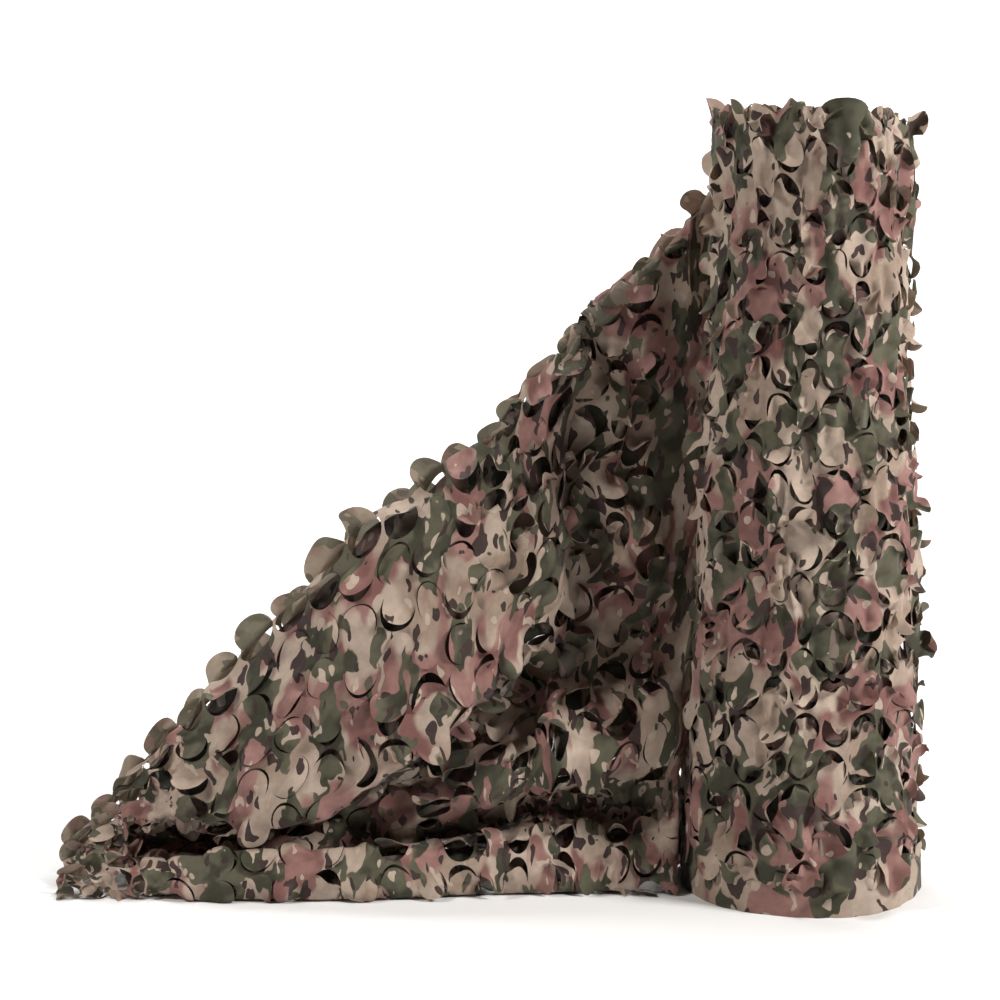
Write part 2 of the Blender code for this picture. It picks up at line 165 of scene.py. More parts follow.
# The roll's turns of net: cells round and up, and how far inside the outer turn each one is. Its
# top dips at one side, and both its edges have a lobe to a cell.
ROLL_ROUND = 24
ROLL_ROWS = 22
NET_OUT = 0.003
INNER_TURN = 0.014
CORE = 0.026
CORE_DROP = 0.05
TOP_LOBE = 0.022
TOP_DIP = 0.026
TOP_EDGE = (0.955, 1.0)
FOOT_EDGE = (0.035, 0.0)
FOOT_HANG = 0.036
ROLL_WANDER = 0.013
MEAN_RADIUS = 0.2
STILL_TOP = (1.0, 0.92)
ROLL_LUMP = 0.003
ROLL_CREASES = (0.0080, 0.0075)
PLAIN_CREASE = 0.35
BAND_RIPPLE = (0.003, 0.0025)
BAND_OUT = 0.0015
BAND_IN = 0.006
BAND_ROWS = 12

# The inner turns, seen from above.
TURNS = 8
TOP_ROWS = 2
TURNS_CELL = 0.064
TURNS_GAP = 0.006
TURNS_HOLE = 0.022
TURNS_DEPTH = 0.165
TURNS_HEIGHT = 0.155
TURNS_CREASE = (0.003, 0.0015)
TURNS_DIP = 0.012
TURNS_LOBE = 0.014

SEED = 5


def lerp(a, b, share):
    return a + (b - a) * share


def smoothstep(low, high, value):
    share = np.clip((value - low) / (high - low), 0.0, 1.0)
    return share * share * (3.0 - 2.0 * share)


def unit(vectors):
    return vectors / np.maximum(np.linalg.norm(vectors, axis=-1, keepdims=True), 1e-9)


class Noise:
    """Smooth noise from -1 to 1 on a table of random heights, which repeats at the table's ends."""

    def __init__(self, wide, high, seed):
        self.table = np.random.default_rng(seed).uniform(-1.0, 1.0, (wide, high))

    def __call__(self, x, y):
        wide, high = self.table.shape
        x0, y0 = np.floor(x).astype(int), np.floor(y).astype(int)
        fx, fy = x - x0, y - y0
        fx, fy = fx * fx * (3 - 2 * fx), fy * fy * (3 - 2 * fy)
        at = lambda i, j: self.table[(x0 + i) % wide, (y0 + j) % high]
        low = lerp(at(0, 0), at(1, 0), fx)
        return lerp(low, lerp(at(0, 1), at(1, 1), fx), fy)


def ruffles(layers, u, v):
    """Layers of noise over a net's cells, summed."""
    return sum(
        height * Noise(NOISE_CELLS, NOISE_CELLS, seed)(u * along, v * across)
        for height, seed, along, across in layers
    )


def cells_of(columns, rows):
    """The places, in cells, of a form's own points."""
    return np.meshgrid(
        np.linspace(0, columns, columns * FINE + 1), np.linspace(0, rows, rows * FINE + 1),
        indexing="ij",
    )


def rings_at(radius, angle, height):
    return np.stack([radius * np.cos(angle), radius * np.sin(angle), height], axis=-1)


# The forms of the cloth.

def roll_radius(height):
    down = 1.0 - np.clip(height / NET_WIDTH, 0.0, 1.0)
    return TOP_RADIUS + (FOOT_RADIUS - TOP_RADIUS) * down**FLARE


def away_from_seat(angle, height):
    """From 0 on the plain part of the roll's wall, where the loose end lies on it, to 1."""
    rise = smoothstep(FOOT_END, TOP_START, height)
    start, end = (lerp(low, high, rise) for low, high in zip(PLAIN_ARC_AT_FOOT, PLAIN_ARC))
    off = np.abs((np.degrees(angle) - (start + end) / 2 + 180.0) % 360.0 - 180.0)
    return smoothstep(0.0, PLAIN_ARC_FADE, off - (end - start) / 2 + PLAIN_ARC_FADE)


def smooth_curve(points, places, wanted):
    """The smooth curve through the points, which are at these places along it, at wanted places."""
    points = np.asarray(points, float)
    places = np.asarray(places, float)
    slopes = np.gradient(points, places, axis=0)
    index = np.clip(np.searchsorted(places, wanted, side="right") - 1, 0, len(places) - 2)
    span = places[index + 1] - places[index]
    t = (np.asarray(wanted) - places[index]) / span
    shape = (len(t),) + (1,) * (points.ndim - 1)
    t, span = t.reshape(shape), span.reshape(shape)
    return (
        (2 * t**3 - 3 * t**2 + 1) * points[index]
        + (t**3 - 2 * t**2 + t) * span * slopes[index]
        + (3 * t**2 - 2 * t**3) * points[index + 1]
        + (t**3 - t**2) * span * slopes[index + 1]
    )


def distances(points):
    steps = np.linalg.norm(np.diff(points, axis=0), axis=-1)
    return np.concatenate([[0.0], np.cumsum(steps)])


def section_points():
    """The loose end's named points as [section][line](x, y, z), the seat's first."""
    rows = []
    for angle in np.radians(SEAT_ANGLES):
        row = []
        for height in SEAT_HEIGHTS:
            radius = roll_radius(height) + SEAT_GAP
            row.append((radius * math.cos(angle), radius * math.sin(angle), height))
        rows.append(row)
    for section in SECTIONS:
        lean = math.tan(math.radians(section.turn))
        row = []
        for y, z in section[2:]:
            row.append((section.x - (section.ridge[0] - y) * lean, y, z))
        rows.append(row)
    return np.array(rows)


def spread_across(rails):
    """The form's points on each of the rails across the net. Each named line keeps nearly one share
    of the net's width, so that the cells stay square."""
    rows = CELLS_ACROSS * FINE + 1
    grid = np.empty((len(rails), rows, 3))
    shares = np.linspace(0.0, 1.0, FINE_STEPS + 1)
    named_shares = np.array(
        [distances(rail)[: LAST_FIXED + 1] / distances(rail)[-1] for rail in rails]
    )
    steady = named_shares.mean(axis=0)
    for c, rail in enumerate(rails):
        places = distances(rail)
        wide = places[-1] * shares
        curve = smooth_curve(rail, places, wide)
        run = distances(curve)
        at_fixed = [*np.interp(places[: LAST_FIXED + 1], wide, run), run[-1]]
        near = named_shares[max(c - 2 * FINE, 0) : c + 2 * FINE + 1].mean(axis=0)
        fixed = [*lerp(steady, near, OWN_SHARE), 1.0]
        at_rows = np.interp(np.linspace(0.0, 1.0, rows), fixed, at_fixed)
        for axis in range(3):
            grid[c, :, axis] = np.interp(at_rows, run, curve[:, axis])
    return grid


def ruffle(grid, cells_along):
    """Give the loose end its small forms: waves and pillows all over, deep bunches beside the roll
    and a crumpled heap at its far end. The cells wander a little as well."""
    x, z = grid[..., 0], grid[..., 2]
    free = smoothstep(*FREE_FROM, x)
    slow = DRAPE_WAVE * sum(
        np.sin(grid @ np.array(way, float) + phase) for *way, phase in DRAPE_WAVES
    )
    u, v = cells_of(cells_along, CELLS_ACROSS)
    pillow = ruffles(PILLOW, u, v)
    crumple = ruffles(CRUMPLE, u, v) * smoothstep(*HEAP_FROM, x)
    rise = smoothstep(*OFF_FLOOR, z)
    bunch = smoothstep(*BUNCH_FROM, x) * smoothstep(*BUNCH_TO, x) * smoothstep(*BUNCH_UP, z)
    deep = ruffles(BUNCH, u, v) * bunch
    across = unit(np.gradient(grid, axis=1))
    normal = normals_of(grid)
    along = np.cross(normal, across)
    sides = smoothstep(0.0, WANDER_SIDE, v) * smoothstep(0.0, WANDER_SIDE, CELLS_ACROSS - v)
    wander = WANDER * sides * free
    grid += along * (wander * ruffles(WANDER_ALONG, u, v))[..., None]
    grid += across * (wander * ruffles(WANDER_ACROSS, u, v))[..., None]
    grid += along * (BUNCH_SHIFT * bunch * ruffles(BUNCH_ALONG, u, v))[..., None]
    grid += normal * ((slow + pillow) * free * rise + crumple + deep)[..., None]


def keep_off_roll(grid, seat):
    """Push the loose end out of the roll, by as much more as seat says, from 0 to 1."""
    away = away_from_seat(np.arctan2(grid[..., 1], grid[..., 0]), grid[..., 2])
    room = roll_radius(grid[..., 2]) + SEAT_GAP
    room = room + (SEAT_CLEARANCE + FLAP_CLEARANCE * away) * seat[:, None]
    push = np.maximum(room / np.hypot(grid[..., 0], grid[..., 1]), 1.0)
    grid[..., 0] *= push
    grid[..., 1] *= push


def loose_end_form():
    """The loose end's surface as [along the net][across it](x, y, z), and its cells along."""
    named = section_points()
    along = np.mean([distances(named[:, m]) for m in range(*MAIN_FACE)], axis=0)
    fine = np.linspace(0.0, along[-1], FINE_STEPS + 1)
    x = smooth_curve(named, along, fine)[:, FACE, 0]
    pitch = lerp(SLACK_CELL, CELL, smoothstep(*TAUT_FROM, x) * smoothstep(*TAUT_TO, x))
    rate = 1.0 / pitch
    run = np.concatenate([[0.0], np.cumsum((rate[1:] + rate[:-1]) / 2 * np.diff(fine))])
    cells_along = round(run[-1])
    wanted = np.interp(np.linspace(0.0, 1.0, cells_along * FINE + 1), run / run[-1], fine)
    grid = spread_across(smooth_curve(named, along, wanted))
    ruffle(grid, cells_along)
    keep_off_roll(grid, smoothstep(0.0, SEAT_LENGTH, wanted - along[len(SEAT_ANGLES) - 1]))
    grid[..., 2] = np.maximum(grid[..., 2], SHEET_CLEAR)
    return grid, cells_along


def under_form(grid):
    """The net hangs double: the layer behind the loose end, where that stands up, and its cells."""
    first, last = (row * FINE for row in UNDER_ROWS)
    x = grid[:, first:last, 0].mean(axis=1)
    inside = np.flatnonzero((x < UNDER_REACH[0]) & (x > UNDER_REACH[1]))
    gap = UNDER_GAP * smoothstep(*UNDER_FROM, grid[..., :1])
    behind = grid - gap * normals_of(grid)
    behind = behind[inside[0] : inside[-1] + 1, FINE // 2 : -FINE].copy()
    behind[..., 2] = np.maximum(behind[..., 2], UNDER_CLEAR)
    return behind, round(len(behind) / FINE), round(behind.shape[1] / FINE)


def roll_form(inset, seed):
    """One turn of the roll above its foot band, closed on itself, with its upright creases."""
    u, v = cells_of(ROLL_ROUND, ROLL_ROWS)
    share = v / ROLL_ROWS
    loose = smoothstep(0.0, 1.0, v)
    sideways = Noise(ROLL_ROUND, 64, seed + 3)(u, 0.8 * v)
    angle = 2 * math.pi * u / ROLL_ROUND + ROLL_WANDER / MEAN_RADIUS * loose * sideways
    upwards = Noise(ROLL_ROUND, 64, seed + 4)(u, 0.7 * v)
    height = lerp(FOOT_BAND - FOOT_HANG, NET_WIDTH, share)
    height = height + ROLL_WANDER * loose * smoothstep(*STILL_TOP, share) * upwards
    lump = ROLL_LUMP * np.sin(3 * angle + 4 * height) + ROLL_LUMP * np.sin(2 * angle - 7 * height)
    broad, narrow = ROLL_CREASES
    crease = broad * Noise(2 * ROLL_ROUND, 40, seed)(2 * u, 0.6 * v)
    crease = crease + narrow * Noise(4 * ROLL_ROUND, 80, seed + 1)(4 * u, 0.9 * v)
    away = away_from_seat(angle, height)
    radius = roll_radius(height) + NET_OUT - inset
    radius = radius + away * lump + lerp(PLAIN_CREASE, 1.0, away) * crease
    lobe = np.abs(np.sin(math.pi * (u + 0.35 * Noise(ROLL_ROUND, 8, seed + 2)(u, v * 0))))
    dip = TOP_DIP * (0.5 + 0.5 * np.cos(angle)) + TOP_LOBE * (1.0 - lobe)
    height = height - dip * smoothstep(*TOP_EDGE, share)
    height = height + TOP_LOBE * (1.0 - lobe) * smoothstep(*FOOT_EDGE, share)
    return rings_at(radius, angle, height)


def band_form(outer_form):
    """The plain band at the roll's foot, which joins the outer turn, and ripples a little."""
    u, v = np.meshgrid(
        np.linspace(0, ROLL_ROUND, ROLL_ROUND * FINE + 1), np.linspace(0, 1, BAND_ROWS + 1),
        indexing="ij",
    )
    angle = 2 * math.pi * u / ROLL_ROUND
    height = FOOT_BAND * v
    away = away_from_seat(angle, height)
    broad, narrow = BAND_RIPPLE
    ripple = broad * np.sin(5 * angle + 1.0)
    ripple = ripple + narrow * Noise(3 * ROLL_ROUND, 6, 51)(3 * u, 1.5 * v)
    foot = rings_at(FOOT_RADIUS + BAND_OUT + away * ripple * (1 - v), angle, height)
    top = outer_form[:, 0][:, None] * (1.0 - BAND_IN / FOOT_RADIUS)
    return lerp(foot, top, smoothstep(0.5, 1.0, v)[..., None] * np.array([1.0, 1.0, 0.0]))


def turns_form():
    """The inner turns at the top, wound inwards, as one long band, and its cells along."""
    outer_radius = TOP_RADIUS - INNER_TURN - TURNS_GAP
    length = math.pi * (outer_radius + TURNS_HOLE) * TURNS
    columns = round(length / TURNS_CELL)
    u, v = cells_of(columns, TOP_ROWS)
    # Even steps along the cloth: the radius falls with the square root of what is left.
    radius = np.sqrt(lerp(outer_radius**2, TURNS_HOLE**2, u / columns))
    angle = 2 * math.pi * TURNS * (outer_radius - radius) / (outer_radius - TURNS_HOLE)
    broad, narrow = TURNS_CREASE
    crease = broad * Noise(120, 12, 61)(2.3 * u, 0.8 * v)
    crease = crease + narrow * Noise(200, 20, 62)(5 * u, 1.5 * v)
    height = NET_WIDTH - TURNS_DEPTH + TURNS_HEIGHT * v / TOP_ROWS
    height = height - TURNS_DIP * Noise(60, 4, 63)(0.4 * u, v * 0) * v / TOP_ROWS
    lobe = np.abs(np.sin(math.pi * (u + 0.3)))
    height = height - TURNS_LOBE * (1 - lobe) * smoothstep(0.7, 1.0, v / TOP_ROWS)
    return rings_at(radius + crease, angle, height), columns


def normals_of(grid):
    along = np.gradient(grid, axis=0)
    across = np.gradient(grid, axis=1)
    return unit(np.cross(across, along))


# The net.

Disc = namedtuple("Disc", "points faces flap_points border")
Disc.__doc__ = """A cell. A point is its angle, its radius and how far it is drawn out to the cell's
border. The flap's come first. The hinge is at angle 0, and there the flap's rim is the web's."""


def disc_template(around, rings):
    angles = 2 * math.pi * np.arange(around) / around
    points = [(0.0, 0.0, 0.0)]
    faces = []
    ring = []
    for k in range(1, rings + 1):
        first = len(points)
        points += [(angle, FLAP_RADIUS * k / rings, 0.0) for angle in angles]
        ring.append([first + i for i in range(around)])
    for i in range(around):
        j = (i + 1) % around
        faces.append((0, ring[0][j], ring[0][i]))
        for low, high in zip(ring, ring[1:]):
            faces.append((low[i], low[j], high[j], high[i]))
    flap_points = len(points)
    off = np.degrees(np.minimum(angles, 2 * math.pi - angles))
    rim = []
    for i, angle in enumerate(angles):
        if off[i] <= HINGE_HALF_ANGLE:
            rim.append(ring[-1][i])
        else:
            rim.append(len(points))
            points.append((angle, FLAP_RADIUS, 0.0))
    middle, border = [], []
    for band, share in ((middle, 0.5), (border, 1.0)):
        for angle in angles:
            band.append(len(points))
            points.append((angle, FLAP_RADIUS, share))
    for i in range(around):
        j = (i + 1) % around
        for low, high in ((rim, middle), (middle, border)):
            faces.append((low[i], low[j], high[j], high[i]))
    return Disc(np.array(points), faces, flap_points, border)


class Form:
    """A form that a net is laid on. Places on it are in cells, along the net and across it. side is
    1 where the net's face is to the left of its length, and closed says that its ends meet."""

    def __init__(self, grid, columns, rows, side=1, closed=False):
        self.grid, self.columns, self.rows = grid, columns, rows
        self.side, self.closed = side, closed
        self.normals = side * normals_of(grid)
        if closed:
            joined = unit(self.normals[0] + self.normals[-1])
            self.normals[0] = self.normals[-1] = joined

    def look(self, table, u, v):
        """The table's value at places on the net, between its own points."""
        if self.closed:
            u = np.mod(u, self.columns)
        gu = np.clip(u, 0, self.columns) * (table.shape[0] - 1) / self.columns
        gv = np.clip(v, 0, self.rows) * (table.shape[1] - 1) / self.rows
        i = np.minimum(gu.astype(int), table.shape[0] - 2)
        j = np.minimum(gv.astype(int), table.shape[1] - 2)
        fu, fv = (gu - i)[..., None], (gv - j)[..., None]
        low = table[i, j] * (1 - fu) + table[i + 1, j] * fu
        high = table[i, j + 1] * (1 - fu) + table[i + 1, j + 1] * fu
        return low * (1 - fv) + high * fv

    def place(self, u, v):
        return self.look(self.grid, u, v)

    def normal(self, u, v):
        return self.look(self.normals, u, v)


Flaps = namedtuple("Flaps", "tilt bend crease twist size turned stands dome")
Flaps.__doc__ = """How a net's flaps are: tilt, bend, crease and twist in degrees, size, how far the
hinge is turned in the cloth, in degrees, how much the flap stands free of the cloth, from 0 to 1,
and how high it is domed, in metres."""


def flap_places(form, disc, flaps, cu, cv, turn, u, v):
    """The places of the flaps' points. In each flap, x runs along the hinge and s away from it, in
    metres of cloth. The flap bends along s, is creased down its middle, and is twisted."""
    tilt, bend, crease, twist = (np.radians(value) for value in flaps[:4])
    size, stands, dome = flaps.size, flaps.stands, flaps.dome
    sin, cos = np.sin(turn), np.cos(turn)
    points = disc.points[: disc.flap_points]
    own_x = points[:, 1] * np.sin(points[:, 0])
    own_y = points[:, 1] * np.cos(points[:, 0])
    x = own_x[None] * CELL
    s = np.maximum(HINGE - own_y, 0.0)[None] * CELL
    longest = (HINGE + FLAP_RADIUS) * CELL

    # The hinge: its middle, and the ways along it, off the cloth and away from it.
    hu, hv = cu + HINGE * sin, cv + HINGE * cos
    step = HINGE_STEP
    centre = form.place(hu, hv)
    sideways = form.place(hu + step * cos, hv - step * sin)
    sideways = sideways - form.place(hu - step * cos, hv + step * sin)
    ahead = form.place(cu - FLAP_RADIUS * sin, cv - FLAP_RADIUS * cos) - centre
    # A flap is as wide and as long as its place in the stretched or slack net.
    wider = np.linalg.norm(sideways, axis=-1) / (2 * step * CELL)
    longer = np.linalg.norm(ahead, axis=-1) / longest
    wider, longer = (size * np.clip(value, *FLAP_SIZES) for value in (wider, longer))
    face = unit(form.normal(hu, hv))
    sideways = unit(sideways - face * (sideways * face).sum(-1, keepdims=True))
    away = np.cross(sideways, face)
    away *= np.sign((away * ahead).sum(-1, keepdims=True))

    run = s * longer
    share = s / longest
    forward, lift = 0.0, 0.0
    for k in range(BEND_PARTS):
        part = share * (k + 0.5) / BEND_PARTS
        angle = tilt * smoothstep(0.0, TILTED_BY, part) + bend * part
        forward = forward + np.cos(angle) * run / BEND_PARTS
        lift = lift + np.sin(angle) * run / BEND_PARTS
    lift = lift * lerp(BELOW_LIFT, 1.0, (1.0 + cos) / 2)
    end = tilt * smoothstep(0.0, TILTED_BY, share) + bend * share
    free = smoothstep(0.0, FREE_BY, share)
    fold = crease * free
    wide = x * wider * np.cos(fold)
    depth = (np.sqrt(x * x + CREASE_ROUND**2) - CREASE_ROUND) * wider * np.sin(fold)
    spin = twist * share
    wide, depth = (
        wide * np.cos(spin) - depth * np.sin(spin), wide * np.sin(spin) + depth * np.cos(spin)
    )
    kept = np.maximum(own_y, HINGE)
    hinge_line = form.place(cu + own_x * cos + kept * sin, cv - own_x * sin + kept * cos)
    stiff = centre + sideways * wide[..., None]
    standing = hinge_line + (stiff - hinge_line) * free[..., None]
    standing = standing + away * (forward - depth * np.sin(end))[..., None]
    standing = standing + face * (lift + depth * np.cos(end))[..., None]

    # A flap that doesn't stand lies in its own cut, domed a little, with its free edge just lifted.
    disc_u = hu + (u - hu) * size
    disc_v = hv + (v - hv) * size
    rim = (points[None, :, 1] / FLAP_RADIUS) ** 2
    rise = lift + depth + dome * (1.0 - rim) * free
    lying = form.place(disc_u, disc_v) + form.normal(disc_u, disc_v) * rise[..., None]
    cut = form.place(u, v)
    lying = cut + (lying - cut) * free[..., None]
    return np.where((s > 0)[..., None], lerp(lying, standing, stands[..., None]), cut)


def shared_numbers(u, v, disc, columns, closed):
    """Each cell's points by number, where neighbouring cells share the points on their borders."""
    cells, count = u.shape
    number = np.arange(cells * count).reshape(cells, count)
    bu = np.round(u[:, disc.border] * 1000).astype(np.int64)
    if closed:
        bu %= columns * 1000
    bv = np.round(v[:, disc.border] * 1000).astype(np.int64)
    keys = (bu * 1000003 + bv).ravel()
    _, first, inverse = np.unique(keys, return_index=True, return_inverse=True)
    shared = number[:, disc.border].ravel()[first][inverse]
    number[:, disc.border] = shared.reshape(cells, len(disc.border))
    used, number_of = np.unique(number, return_inverse=True)
    return number_of.reshape(cells, count), used


def add_piece(name, mesh):
    mesh.shade_smooth()
    piece = bpy.data.objects.new(name, mesh)
    bpy.context.scene.collection.objects.link(piece)
    return piece


def net_mesh(name, spots, number, flat, faces, side):
    """A mesh of all the cells. Numbers and flat places are given by cell and point."""
    cells, count = number.shape
    mesh = bpy.data.meshes.new(name)
    triples = [f for f in faces if len(f) == 3]
    quads = [f for f in faces if len(f) == 4]
    loops, starts, sizes, loop_uv = [], [], [], []
    at = 0
    for group in (triples, quads):
        table = np.array(group)
        if side > 0:
            table = table[:, ::-1]
        corners = number[:, table].reshape(-1, table.shape[1])
        own = np.arange(cells)[:, None, None] * count + table[None]
        loops.append(corners.ravel())
        loop_uv.append(flat[own.ravel()])
        starts.append(at + np.arange(len(corners)) * table.shape[1])
        sizes.append(np.full(len(corners), table.shape[1]))
        at += corners.size
    loops, starts, sizes, loop_uv = (np.concatenate(a) for a in (loops, starts, sizes, loop_uv))
    mesh.vertices.add(len(spots))
    mesh.vertices.foreach_set("co", spots.ravel())
    mesh.loops.add(len(loops))
    mesh.loops.foreach_set("vertex_index", loops.astype(np.int32))
    mesh.polygons.add(len(starts))
    mesh.polygons.foreach_set("loop_start", starts.astype(np.int32))
    mesh.polygons.foreach_set("loop_total", sizes.astype(np.int32))
    mesh.uv_layers.new(name="cloth").data.foreach_set("uv", loop_uv.ravel())
    mesh.update(calc_edges=True)
    mesh.validate()
    return mesh


def make_net(name, form, stand, around=24, rings=4, pitch=(CELL, CELL), uv_start=(0.0, 0.0)):
    """A piece of net on a form. stand(u, v, place, rng) gives the Flaps of the cells at u, v, and
    pitch is the cloth's own, along it and across."""
    rng = np.random.default_rng([SEED, len(name), form.columns])
    disc = disc_template(around, rings)
    cells = np.meshgrid(np.arange(form.columns), np.arange(form.rows), indexing="ij")
    cu, cv = (a.ravel() + 0.5 for a in cells)
    flaps = stand(cu, cv, form.place(cu, cv), rng)
    flaps = Flaps(*(np.asarray(value, float)[:, None] for value in flaps))

    # Every other flap hinges at the bottom. A hinge turns by whole points of the cell's border.
    half = math.pi * ((cu.astype(int) + cv.astype(int)) % 2)[:, None]
    turn = half + 2 * math.pi / around * np.round(flaps.turned / 360 * around)
    cu, cv = cu[:, None], cv[:, None]
    ways = np.stack([np.sin(disc.points[:, 0] + turn), np.cos(disc.points[:, 0] + turn)], axis=-1)
    reach = 0.5 / np.abs(ways).max(-1)
    far = lerp(disc.points[:, 1], reach, disc.points[:, 2])
    u = cu + far * ways[..., 0]
    v = cv + far * ways[..., 1]
    place = form.place(u, v)
    own = slice(None, disc.flap_points)
    place[:, own] = flap_places(form, disc, flaps, cu, cv, turn, u[:, own], v[:, own])

    number, used = shared_numbers(u, v, disc, form.columns, form.closed)
    flat = np.stack([u * pitch[0] + uv_start[0], v * pitch[1] + uv_start[1]], axis=-1)
    spots = place.reshape(-1, 3)[used]
    spots[:, 2] = np.maximum(spots[:, 2], FLOOR_CLEAR)
    return add_piece(
        name, net_mesh(name, spots, number, flat.reshape(-1, 2), disc.faces, form.side)
    )


def lay_flat(mesh, spots):
    """Give each point of a plain mesh its place on the flat cloth."""
    corners = np.array([c for p in mesh.polygons for c in p.vertices])
    mesh.uv_layers.new(name="cloth").data.foreach_set("uv", spots[corners].ravel())


def strip_piece(name, grid, uv_start, uv_size):
    """A plain band of cloth on a form."""
    wide, high = grid.shape[:2]
    number = np.arange(wide * high).reshape(wide, high)
    corners = (number[:-1, :-1], number[:-1, 1:], number[1:, 1:], number[1:, :-1])
    faces = np.stack(corners, axis=-1)
    mesh = bpy.data.meshes.new(name)
    mesh.from_pydata(grid.reshape(-1, 3).tolist(), [], faces[..., ::-1].reshape(-1, 4).tolist())
    shares = np.meshgrid(np.linspace(0, 1, wide), np.linspace(0, 1, high), indexing="ij")
    spots = np.stack(shares, axis=-1).reshape(-1, 2)
    lay_flat(mesh, spots * np.array(uv_size) + np.array(uv_start))
    return add_piece(name, mesh)


def core_piece(name, around=96, levels=40):
    """The turns further in, as one closed form, seen only through the cuts and from above."""
    heights = np.linspace(0.0, NET_WIDTH - CORE_DROP, levels)
    angle = 2 * math.pi * np.arange(around) / around
    points, faces = [], []
    for height in heights:
        radius = roll_radius(height) - CORE
        points += [(radius * math.cos(a), radius * math.sin(a), height) for a in angle]
    for k in range(levels - 1):
        low, high = k * around, (k + 1) * around
        for i in range(around):
            j = (i + 1) % around
            faces.append((low + i, low + j, high + j, high + i))
    last = (levels - 1) * around
    faces.append(tuple(range(around))[::-1])
    faces.append(tuple(range(last, last + around)))
    mesh = bpy.data.meshes.new(name)
    mesh.from_pydata(points, [], faces)
    spots = np.array(points)
    run = np.arctan2(spots[:, 1], spots[:, 0]) * MEAN_RADIUS + 1.0
    lay_flat(mesh, np.stack([run, spots[:, 2]], axis=-1))
    return add_piece(name, mesh)


# The cloth's colours: a camouflage of soft dusty patches with small crisp ones on them.

def linear(red, green, blue):
    """A colour as Blender's nodes want it, from red, green and blue of 255."""
    out = []
    for value in (red, green, blue):
        value /= 255
        out.append(value / 12.92 if value <= 0.04045 else ((value + 0.055) / 1.055) ** 2.4)
    return (*out, 1.0)


TAN = linear(176, 158, 143)
SAND = linear(152, 132, 116)
MAUVE = linear(146, 109, 102)
ROSE = linear(118, 79, 74)
SAGE = linear(88, 85, 68)
MOSS = linear(59, 58, 43)
PLUM = linear(60, 45, 42)
PALE = linear(150, 144, 128)
PALE_SHARE = 0.42
THROUGH = linear(196, 160, 104)
THROUGH_TINT = 0.6
THROUGH_SHARE = 0.18
WANDER_SCALE = 24.0
PATCH_WANDER = (0.026, 0.026, 0.0)
WEAVE_SCALE = 220.0
WEAVE_UNEVEN = 0.6

# Painted shade: how dark the cloth's colour is made for layers that lie in shade, the turns
# within the roll and the face of the layer behind.
PAINTED_SHADE_WITHIN = 0.45
PAINTED_SHADE_BEHIND = 0.24


class Nodes:
    """Short calls for a material's nodes."""

    def __init__(self, tree):
        self.tree = tree

    def new(self, kind, inputs=None, **settings):
        node = self.tree.nodes.new(kind)
        for key, value in settings.items():
            setattr(node, key, value)
        for key, value in (inputs or {}).items():
            node.inputs[key].default_value = value
        return node

    def link(self, source, target):
        self.tree.links.new(source, target)

    def noise(self, vector, scale, detail=2.0, rough=0.5, offset=(0, 0, 0), stretch=(1, 1, 1)):
        place = self.new("ShaderNodeMapping", {
            "Location": offset, "Scale": [scale * s for s in stretch],
        })
        self.link(vector, place.inputs["Vector"])
        node = self.new("ShaderNodeTexNoise", {
            "Scale": 1.0, "Detail": detail, "Roughness": rough, "Distortion": 0.0,
        })
        self.link(place.outputs["Vector"], node.inputs["Vector"])
        return node.outputs["Fac"]

    def ramp(self, value, low, high, start=0.0, end=1.0):
        node = self.new("ShaderNodeMapRange", {
            "From Min": low, "From Max": high, "To Min": start, "To Max": end,
        }, interpolation_type="SMOOTHSTEP")
        self.link(value, node.inputs["Value"])
        return node.outputs["Result"]

    def patches(self, vector, scale, low, high, detail=2.0, offset=(0, 0, 0), stretch=(1, 1, 1)):
        """A mask of patches, with a soft edge where the noise is from low to high."""
        return self.ramp(self.noise(vector, scale, detail, 0.5, offset, stretch), low, high)

    def bands(self, vector, direction):
        node = self.new("ShaderNodeTexWave", {
            "Scale": WEAVE_SCALE, "Distortion": WEAVE_UNEVEN,
        }, wave_type="BANDS", bands_direction=direction)
        self.link(vector, node.inputs["Vector"])
        return node.outputs["Fac"]

    def math(self, operation, first, second):
        node = self.new("ShaderNodeMath", operation=operation)
        self.link(first, node.inputs[0])
        self.link(second, node.inputs[1])
        return node.outputs[0]

    def bump(self, height, strength, distance, normal=None):
        node = self.new("ShaderNodeBump", {"Strength": strength, "Distance": distance})
        self.link(height, node.inputs["Height"])
        if normal:
            self.link(normal, node.inputs["Normal"])
        return node.outputs["Normal"]

    def mix(self, share, first, second, blend="MIX"):
        node = self.new("ShaderNodeMix", data_type="RGBA", blend_type=blend)
        sockets = {"Factor": node.inputs[0], "A": node.inputs[6], "B": node.inputs[7]}
        for key, value in (("Factor", share), ("A", first), ("B", second)):
            if isinstance(value, (int, float, tuple)):
                sockets[key].default_value = value
            else:
                self.link(value, sockets[key])
        return node.outputs[2]


